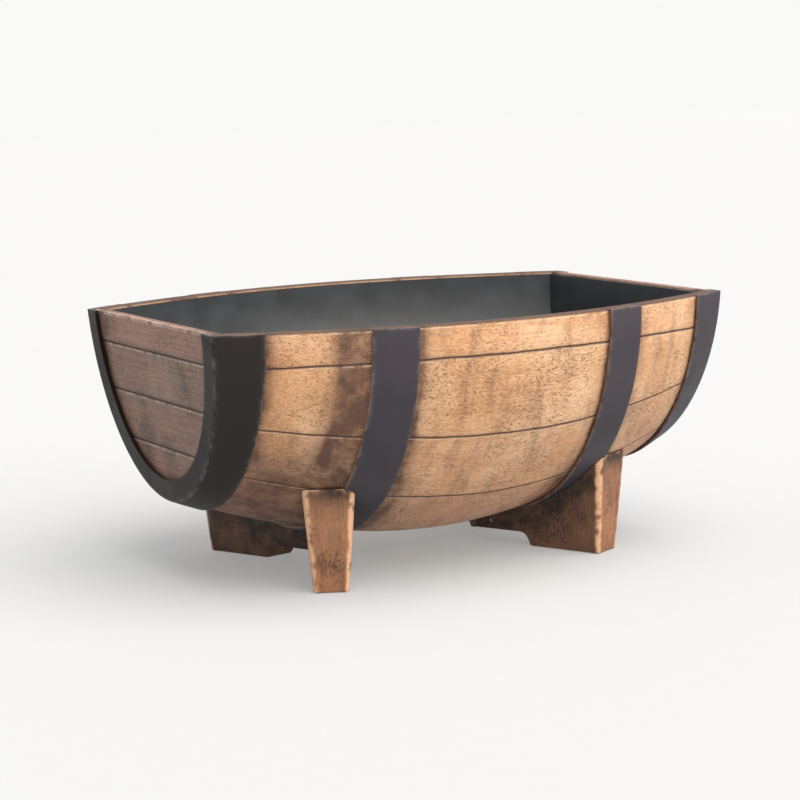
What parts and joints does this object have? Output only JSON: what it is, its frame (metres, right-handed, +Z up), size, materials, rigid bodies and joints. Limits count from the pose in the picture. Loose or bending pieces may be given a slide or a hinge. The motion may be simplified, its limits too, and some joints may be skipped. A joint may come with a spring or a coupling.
{
  "type": "oval whiskey barrel planter",
  "caption": "Oval half-barrel planter with bowed wood staves, dark metal hoops, boarded heads, splayed cradle legs and a drained liner.",
  "frame": {"origin": "on the ground under the middle of the planter", "axes": "+X along the planter's length, +Y across it to the back, +Z up"},
  "size_m": [0.6, 0.486, 0.274],
  "materials": {
    "stave_wood": "warm tan stained wood with dark smoky antiquing, satin",
    "head_wood": "greyer brown stained wood, satin",
    "cradle_wood": "mid brown stained wood with worn light edges",
    "hoop_steel": "matt charcoal paint, edges worn lighter",
    "liner_plastic": "smooth matt charcoal moulding",
    "dowel_wood": "plain beech",
    "screw_steel": "zinc plated"
  },
  "bodies": {
    "root": {"keel_stave": "stave_wood", "rim_stave_back": "stave_wood", "rim_stave_front": "stave_wood", "upper_stave_back": "stave_wood", "upper_stave_front": "stave_wood", "lower_stave_back": "stave_wood", "lower_stave_front": "stave_wood", "bottom_stave_back": "stave_wood", "bottom_stave_front": "stave_wood", "left_head_top_board": "head_wood", "left_head_upper_board": "head_wood", "left_head_lower_board": "head_wood", "left_head_bottom_board": "head_wood", "right_head_top_board": "head_wood", "right_head_upper_board": "head_wood", "right_head_lower_board": "head_wood", "right_head_bottom_board": "head_wood", "left_end_hoop": "hoop_steel", "left_inner_hoop": "hoop_steel", "right_inner_hoop": "hoop_steel", "right_end_hoop": "hoop_steel", "front_left_leg": "cradle_wood", "back_left_leg": "cradle_wood", "front_right_leg": "cradle_wood", "back_right_leg": "cradle_wood", "liner": "liner_plastic", "left_head_dowels": "dowel_wood", "right_head_dowels": "dowel_wood", "mitre_dowels": "dowel_wood", "hoop_screws": "screw_steel", "leg_screws": "screw_steel"}
  },
  "joints": []
}
